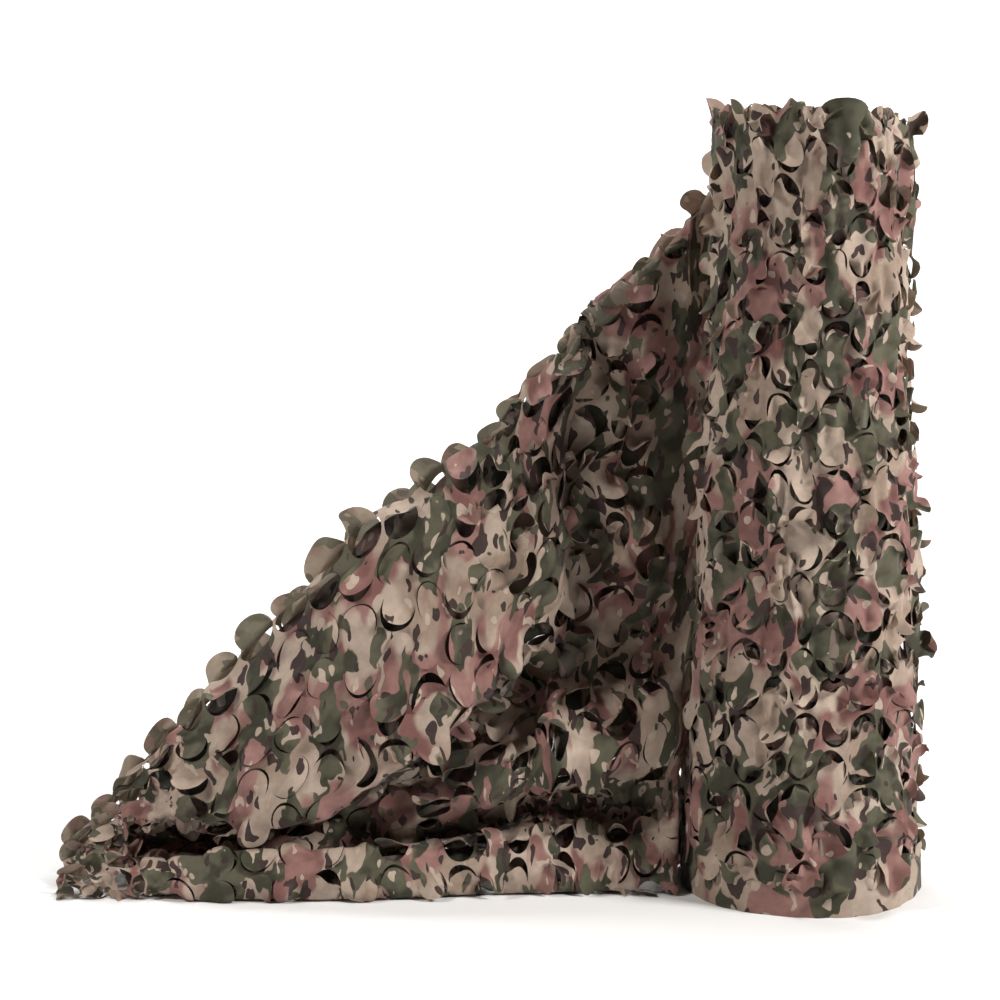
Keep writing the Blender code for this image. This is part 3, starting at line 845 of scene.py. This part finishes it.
def camouflage(n, uv):
    """The colour of the cloth's face."""
    # Wander the places a little, so that no patch has a straight side.
    wander = n.new("ShaderNodeTexNoise", {"Scale": WANDER_SCALE, "Detail": 1.0})
    n.link(uv, wander.inputs["Vector"])
    shift = n.new("ShaderNodeVectorMath", {1: PATCH_WANDER}, operation="MULTIPLY_ADD")
    n.link(wander.outputs["Color"], shift.inputs[0])
    n.link(uv, shift.inputs[2])
    place = shift.outputs["Vector"]

    ground = n.mix(n.patches(place, 7.0, 0.40, 0.62, offset=(3, 8, 0)), TAN, SAND)
    rosy = n.mix(n.patches(place, 10.0, 0.42, 0.62, offset=(11, 2, 0)), MAUVE, ROSE)
    green = n.mix(n.patches(place, 14.0, 0.44, 0.58, offset=(7, 5, 0)), SAGE, MOSS)
    where_rosy = n.patches(place, 6.4, 0.49, 0.54, 2.0, (5, 1, 0), (1.1, 0.75, 1))
    where_green = n.patches(place, 10.0, 0.520, 0.530, 2.5, (1, 9, 0), (1.2, 0.7, 1))
    spots = n.patches(place, 29.0, 0.640, 0.648, 1.0, (9, 4, 0), (1.1, 0.7, 1))
    blots = n.patches(place, 24.0, 0.615, 0.622, 1.5, (2, 6, 0), (1.2, 0.65, 1))
    colour = n.mix(where_rosy, ground, rosy)
    colour = n.mix(where_green, colour, green)
    colour = n.mix(spots, colour, TAN)
    return n.mix(blots, colour, PLUM)


def cloth_material(name, painted_shade=1.0, painted_shade_face=1.0):
    """The net's cloth. darker_face is for a side that lies in the shade of the layer before it."""
    material = bpy.data.materials.new(name)
    material.use_nodes = True
    tree = material.node_tree
    n = Nodes(tree)
    shader = tree.nodes["Principled BSDF"]
    output = tree.nodes["Material Output"]
    uv = n.new("ShaderNodeUVMap", uv_map="cloth").outputs["UV"]
    colour = camouflage(n, uv)

    # The reverse is paler and greyer, and the cloth is a little uneven all over.
    back = n.new("ShaderNodeNewGeometry").outputs["Backfacing"]
    colour = n.mix(back, colour, n.mix(PALE_SHARE, colour, PALE))
    mottle = n.ramp(n.noise(uv, 60.0, 3.0, 0.6), 0.3, 0.7, 0.90, 1.06)
    grain = n.ramp(n.noise(uv, 900.0, 2.0, 0.6), 0.3, 0.7, 0.94, 1.04)
    tone = n.new("ShaderNodeVectorMath", operation="SCALE")
    n.link(colour, tone.inputs[0])
    n.link(n.math("MULTIPLY", mottle, grain), tone.inputs["Scale"])
    colour = tone.outputs["Vector"]
    # Painted shade: the colour is darkened all over for cloth deep in the roll, and on the front
    # face only for the layer behind.
    if painted_shade < 1.0:
        colour = n.mix(1.0, colour, (painted_shade, painted_shade, painted_shade, 1.0), "MULTIPLY")
    if painted_shade_face < 1.0:
        shaded = n.mix(1.0, colour, (painted_shade_face, painted_shade_face, painted_shade_face, 1.0), "MULTIPLY")
        colour = n.mix(back, shaded, colour)
    n.link(colour, shader.inputs["Base Color"])

    rough = n.ramp(n.noise(uv, 40.0, 3.0, 0.6), 0.3, 0.7, 0.62, 0.82)
    n.link(rough, shader.inputs["Roughness"])
    shader.inputs["Metallic"].default_value = 0.0
    shader.inputs["Specular IOR Level"].default_value = 0.30
    shader.inputs["Sheen Weight"].default_value = 0.10
    shader.inputs["Sheen Roughness"].default_value = 0.5

    # A fine plain weave, and soft puckers.
    weave = n.math("MAXIMUM", n.bands(uv, "X"), n.bands(uv, "Y"))
    puckered = n.bump(n.noise(uv, 70.0, 2.0, 0.5), 0.25, 0.0015)
    n.link(n.bump(weave, 0.15, 0.0004, puckered), shader.inputs["Normal"])

    # Thin cloth: light from behind shows through it, warmer.
    through = n.new("ShaderNodeBsdfTranslucent")
    n.link(n.mix(THROUGH_TINT, colour, THROUGH, "MULTIPLY"), through.inputs["Color"])
    blend = n.new("ShaderNodeMixShader", {0: THROUGH_SHARE})
    n.link(shader.outputs["BSDF"], blend.inputs[1])
    n.link(through.outputs["BSDF"], blend.inputs[2])
    n.link(blend.outputs["Shader"], output.inputs["Surface"])
    return material


# How the flaps stand.

#        share  tilt    bend     crease twist stands
FLAT = ((0.42, 9, 17, -8, 8, 12, 8, 0.0),
        (0.34, 10, 24, 6, 32, 26, 14, 0.5),
        (0.24, 8, 28, 12, 56, 44, 28, 1.0))
LOOSE = ((0.34, 9, 20, -6, 14, 14, 8, 0.1),
         (0.34, 10, 30, 8, 54, 40, 26, 0.7),
         (0.32, 10, 48, -30, 30, 60, 44, 1.0))
CURLED = ((0.30, 14, 34, -6, 34, 30, 20, 0.7),
          (0.36, 14, 50, 20, 90, 54, 40, 1.0),
          (0.34, 30, 76, -60, 20, 70, 60, 1.0))
CREST = ((0.60, -4, 10, -16, 12, 16, 10, 1.0),
         (0.40, 0, 18, -10, 24, 26, 16, 1.0))
WOUND = ((0.34, 5, 12, 0, 26, 44, 14, 0.6),
         (0.36, 8, 28, 10, 70, 58, 34, 1.0),
         (0.30, 20, 56, -60, 10, 70, 50, 1.0))

# Where the flaps of the loose end change, in metres. The lit face is an oval that leans up towards
# the roll, and the lower fold a box.
FACE_MIDDLE, FACE_HALF, FACE_LEAN, FACE_FRONT = (-0.84, 0.36), (0.34, 0.22), 0.9, 0.03
FOLD_X, FOLD_Z, FOLD_FRONT = (-0.75, -0.34), (0.13, 0.30), -0.04
HOLLOW_TOP, HOLLOW_END = 0.42, -1.05
CURLED_FROM, CURLED_UP = (-0.68, -0.50), (0.15, 0.35)
HEAP_CURLED = (-1.10, -1.25)
BESIDE_ROLL = (-0.28, -0.24)
ON_ROLL = (-0.12, -0.2)
CREST_DEPTH, CREST_START = 0.06, -0.17

# Their sizes, turns and domes, and how far a crest flap is tilted back, at least and at most.
DRAPE_TURN, DRAPE_MOST_TURN = 36.0, 90
DRAPE_SIZE, CURLED_SMALLER, BESIDE_SIZE = (0.91, 1.04), 0.07, 1.07
DRAPE_DOME, CURLED_DOME, BESIDE_DOME = (-0.007, 0.013), 1.4, 0.7
CREST_TILT, CREST_TURN, CREST_SIZE = (25.0, 62.0), 0.3, 0.94

# The same for the roll, whose flaps stand up more the lower they are, down to its foot.
ROLL_TURN, ROLL_MOST_TURN = 24.0, 60
ROLL_SIZE, PAST_SIZE, ROLL_DOME = (0.90, 1.06), (1.30, 1.60), (-0.004, 0.006)
ROLL_TILT, ROLL_DOWN, ROLL_AT_FOOT = (0.75, 1.35), (1.0, 0.45), (-0.02, 0.14)
LOWER_SMALLER = 0.06
PRESSED = 0.25


def pick(rng, count, table):
    """Random flaps of several kinds. Each row of the table is a kind: its share, the range of its
    tilt and bend, its crease and twist either way, in degrees, and how much it stands free."""
    shares = np.array([row[0] for row in table], float)
    kind = rng.choice(len(table), count, p=shares / shares.sum())
    rows = np.array([row[1:] for row in table], float)[kind]
    tilt = lerp(rows[:, 0], rows[:, 1], rng.random(count))
    bend = lerp(rows[:, 2], rows[:, 3], rng.random(count))
    crease = rows[:, 4] * rng.choice([-1.0, 1.0], count) * rng.uniform(0.4, 1.0, count)
    twist = rows[:, 5] * rng.uniform(-1.0, 1.0, count)
    return np.array([tilt, bend, crease, twist, rows[:, 6]])


def drape_flaps(cu, cv, place, rng):
    """The loose end's flaps. The broad lit face and the lower fold lie flat, and their flaps with
    them. They curl most in the bunched cloth, in the hollow and in the heap. Right beside the roll
    they are closed, and on it pressed down."""
    count = len(cu)
    x, y, z = place.T
    off = (x - FACE_MIDDLE[0], z - FACE_MIDDLE[1] - FACE_LEAN * (x - FACE_MIDDLE[0]))
    flat = np.exp(-((off[0] / FACE_HALF[0]) ** 2 + (off[1] / FACE_HALF[1]) ** 2))
    flat = flat * (y < FACE_FRONT) > rng.random(count) * 0.5
    near = smoothstep(*BESIDE_ROLL, x)
    strong = smoothstep(*CURLED_FROM, x) * smoothstep(*CURLED_UP, z) * (1.0 - near)
    strong = strong > rng.random(count)
    heap = smoothstep(*HEAP_CURLED, x) > rng.random(count)
    hollow = (y > 0.0) & (z < HOLLOW_TOP) & (x > HOLLOW_END)
    along_fold = (x > FOLD_X[0]) & (x < FOLD_X[1])
    flat = flat | ((y < FOLD_FRONT) & (z > FOLD_Z[0]) & (z < FOLD_Z[1]) & along_fold)
    column = cu.astype(int)
    ridge = np.zeros(column.max() + 1)
    np.maximum.at(ridge, column, z)
    crest = (z > ridge[column] - CREST_DEPTH) & (x < CREST_START)
    values = np.where(flat, pick(rng, count, FLAT), pick(rng, count, LOOSE))
    values = np.where((strong | heap | hollow) & ~flat, pick(rng, count, CURLED), values)

    # A crest flap stands up behind the ridge, the more so the further over it its own place is.
    across = np.gradient(place.reshape(column.max() + 1, -1, 3), axis=1).reshape(-1, 3)
    over = np.degrees(np.arctan2(across[:, 1], across[:, 2]))
    upright = pick(rng, count, CREST)
    upright[0] += np.clip(over, *CREST_TILT)
    values = np.where(crest, upright, values)
    tilt, bend, crease, twist, stands = values * smoothstep(*ON_ROLL, x) * (1.0 - near * ~crest)
    turned = np.clip(rng.normal(0.0, DRAPE_TURN, count), -DRAPE_MOST_TURN, DRAPE_MOST_TURN)
    turned = turned * np.where(crest, CREST_TURN, 1.0)
    turned = turned + 180.0 * (crest & ((column + cv.astype(int)) % 2 == 1))
    size = rng.uniform(*DRAPE_SIZE, count) - CURLED_SMALLER * (strong | hollow)
    size = np.where(crest, CREST_SIZE, 1.0) * lerp(size, BESIDE_SIZE, near)
    dome = rng.uniform(*DRAPE_DOME, count) * lerp(1.0, CURLED_DOME, strong)
    return Flaps(tilt, bend, crease, twist, size, turned, stands, dome * (1.0 - BESIDE_DOME * near))


def roll_flaps(cu, cv, place, rng):
    """The outer turn's flaps, pressed down where the loose end lies on them."""
    count = len(cu)
    tilt, bend, crease, twist, stands = pick(rng, count, WOUND)
    height = place[:, 2]
    low = lerp(*ROLL_TILT, smoothstep(*ROLL_DOWN, height)) * smoothstep(*ROLL_AT_FOOT, height)
    scale = lerp(PRESSED, 1.0, away_from_seat(np.arctan2(place[:, 1], place[:, 0]), height))
    turned = np.clip(rng.normal(0.0, ROLL_TURN, count), -ROLL_MOST_TURN, ROLL_MOST_TURN)
    size = rng.uniform(*ROLL_SIZE, count) - LOWER_SMALLER * (low - ROLL_TILT[0])
    # Flaps that hinge at the bottom of the top row, or the top of the bottom row, reach past it.
    up = (cu.astype(int) + cv.astype(int)) % 2 == 1
    past = (up & (cv > ROLL_ROWS - 1)) | (~up & (cv < 1))
    size = np.where(past, rng.uniform(*PAST_SIZE, count), size)
    stands = np.where(past, 1.0, stands)
    dome = rng.uniform(*ROLL_DOME, count)
    return Flaps(
        tilt * scale * low, bend * scale, crease * scale, twist * scale, size, turned, stands, dome
    )


def quiet_flaps(cu, cv, place, rng):
    """Flaps inside the roll, which hardly stand up."""
    count = len(cu)
    return Flaps(
        tilt=rng.uniform(1, 8, count), bend=rng.uniform(-10, 15, count),
        crease=rng.normal(0, 12, count), twist=rng.normal(0, 12, count),
        size=rng.uniform(0.9, 1.0, count), turned=rng.normal(0.0, 20.0, count),
        stands=np.full(count, 0.5), dome=np.zeros(count),
    )


def still_flaps(cu, cv, place, rng):
    """Flaps that lie closed in their own cuts."""
    count = len(cu)
    return Flaps(
        tilt=rng.uniform(1, 4, count), bend=rng.uniform(-4, 6, count),
        crease=np.zeros(count), twist=np.zeros(count),
        size=rng.uniform(1.04, 1.12, count), turned=rng.normal(0.0, 24.0, count),
        stands=np.zeros(count), dome=rng.uniform(-0.004, 0.0, count),
    )


# The pieces.

def fit(piece, material):
    piece.data.materials.append(material)
    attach(piece, "root")


cloth = cloth_material("camouflage_cloth")
# Painted shade: a darkened copy of the cloth, for the turns deep in the roll and its core.
inner_cloth_painted_shade = cloth_material("camouflage_cloth_within_painted_shade", painted_shade=PAINTED_SHADE_WITHIN)
# Painted shade: a copy of the cloth whose front face is darkened, for the layer behind.
under_cloth_painted_shade = cloth_material("camouflage_cloth_behind_painted_shade", painted_shade_face=PAINTED_SHADE_BEHIND)
rolled = (ROLL_CELL, ROLL_ROW)

grid, cells_along = loose_end_form()
loose_form = Form(grid, cells_along, CELLS_ACROSS)
loose = make_net("loose_cloth", loose_form, drape_flaps, uv_start=(6.4, 1.3))
fit(loose, cloth)
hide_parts("loose_end")

# The layer behind stands for cloth that hangs double; its front face is darkened as painted shade.
behind, cells_behind, rows_behind = under_form(grid)
hanging = Form(behind, cells_behind, rows_behind)
under = make_net("loose_layer_behind", hanging, still_flaps, 16, 3, uv_start=(11.7, 2.9))
fit(under, under_cloth_painted_shade)

outer_form = roll_form(0.0, 31)
outer_turn = Form(outer_form, ROLL_ROUND, ROLL_ROWS, -1, True)
outer = make_net("roll_outer_turn", outer_turn, roll_flaps, pitch=rolled)
fit(outer, cloth)
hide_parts("net_roll")

# The second turn wears the darkened copy of the cloth, as painted shade.
second_turn = Form(roll_form(INNER_TURN, 41), ROLL_ROUND, ROLL_ROWS, -1, True)
inner = make_net("roll_second_turn", second_turn, quiet_flaps, 16, 3, rolled, (5.1, 3.3))
fit(inner, inner_cloth_painted_shade)

once_round = ROLL_ROUND * ROLL_CELL
band_flat = (once_round, FOOT_BAND)
band = strip_piece("roll_foot_band", band_form(outer_form), (0.0, -FOOT_BAND), band_flat)
fit(band, cloth)

# The core wears the darkened copy of the cloth, as painted shade.
core = core_piece("roll_core")
fit(core, inner_cloth_painted_shade)

top_form, top_columns = turns_form()
wound_in = Form(top_form, top_columns, TOP_ROWS, -1)
turns = make_net("roll_inner_turns", wound_in, quiet_flaps, 16, 3, rolled, (8.0, 1.1))
fit(turns, cloth)


# The floor, the lights and the camera.

SWEEP_SIDES = (-10.0, 9.0)
SWEEP_FRONT, SWEEP_BACK, SWEEP_TOP = -9.0, 2.2, 9.0
SWEEP_BEND, SWEEP_STEPS = 2.5, 16
PAPER = (0.74, 0.74, 0.74, 1.0)
WORLD = (1.0, 0.88, 0.76, 1.0)
WORLD_STRENGTH = 0.04
SENSOR = 36.0
FOCAL_PIXELS, PHOTO_PIXELS = 2098.0, 1000.0
CAMERA_PLACE = (-0.588, -4.0, 1.25)
CAMERA_DOWN = 7.08


def area_light(name, place, target, size, power, colour=(1.0, 1.0, 1.0)):
    light = bpy.data.lights.new(name, "AREA")
    light.shape = "RECTANGLE"
    light.size, light.size_y = size
    light.energy = power
    light.color = colour
    lamp = bpy.data.objects.new(name, light)
    bpy.context.scene.collection.objects.link(lamp)
    lamp.location = place
    lamp.rotation_euler = (Vector(target) - Vector(place)).to_track_quat("-Z", "Y").to_euler()


def sweep_piece(name):
    """Pale paper that lies flat under the part and curves up behind it."""
    profile = [(SWEEP_FRONT, 0.0), (SWEEP_BACK, 0.0)]
    for k in range(1, SWEEP_STEPS + 1):
        angle = math.pi / 2 * k / SWEEP_STEPS
        rise = SWEEP_BEND - SWEEP_BEND * math.cos(angle)
        profile.append((SWEEP_BACK + SWEEP_BEND * math.sin(angle), rise))
    profile.append((SWEEP_BACK + SWEEP_BEND, SWEEP_TOP))
    points = [(x, y, z) for x in SWEEP_SIDES for y, z in profile]
    count = len(profile)
    faces = [(k, k + count, k + count + 1, k + 1) for k in range(count - 1)]
    mesh = bpy.data.meshes.new(name)
    mesh.from_pydata(points, [], faces)
    return add_piece(name, mesh)


floor = sweep_piece("paper_sweep")
paper = bpy.data.materials.new("paper")
paper.use_nodes = True
paper_shader = paper.node_tree.nodes["Principled BSDF"]
paper_shader.inputs["Base Color"].default_value = PAPER
paper_shader.inputs["Roughness"].default_value = 0.9
paper_shader.inputs["Specular IOR Level"].default_value = 0.1
floor.data.materials.append(paper)

world = bpy.data.worlds.new("studio")
bpy.context.scene.world = world
world.use_nodes = True
world.node_tree.nodes["Background"].inputs["Color"].default_value = WORLD
world.node_tree.nodes["Background"].inputs["Strength"].default_value = WORLD_STRENGTH

area_light("key", (4.2, -2.4, 3.6), (-0.4, 0.0, 0.6), (1.3, 1.3), 480, (1.0, 0.98, 0.955))
area_light("fill", (-4.5, -1.9, 3.8), (-0.2, 0.0, 0.6), (1.2, 1.2), 190, (1.0, 0.97, 0.94))
area_light("backdrop", (-0.6, 1.4, 5.2), (-0.6, 4.6, 1.2), (6.0, 1.5), 360)

camera_data = bpy.data.cameras.new("camera")
camera_data.sensor_width = SENSOR
camera_data.lens = FOCAL_PIXELS / PHOTO_PIXELS * SENSOR
camera = bpy.data.objects.new("camera", camera_data)
bpy.context.scene.collection.objects.link(camera)
camera.location = CAMERA_PLACE
camera.rotation_euler = (math.radians(90.0 - CAMERA_DOWN), 0.0, 0.0)
bpy.context.scene.camera = camera
bpy.context.scene.view_settings.view_transform = "Standard"
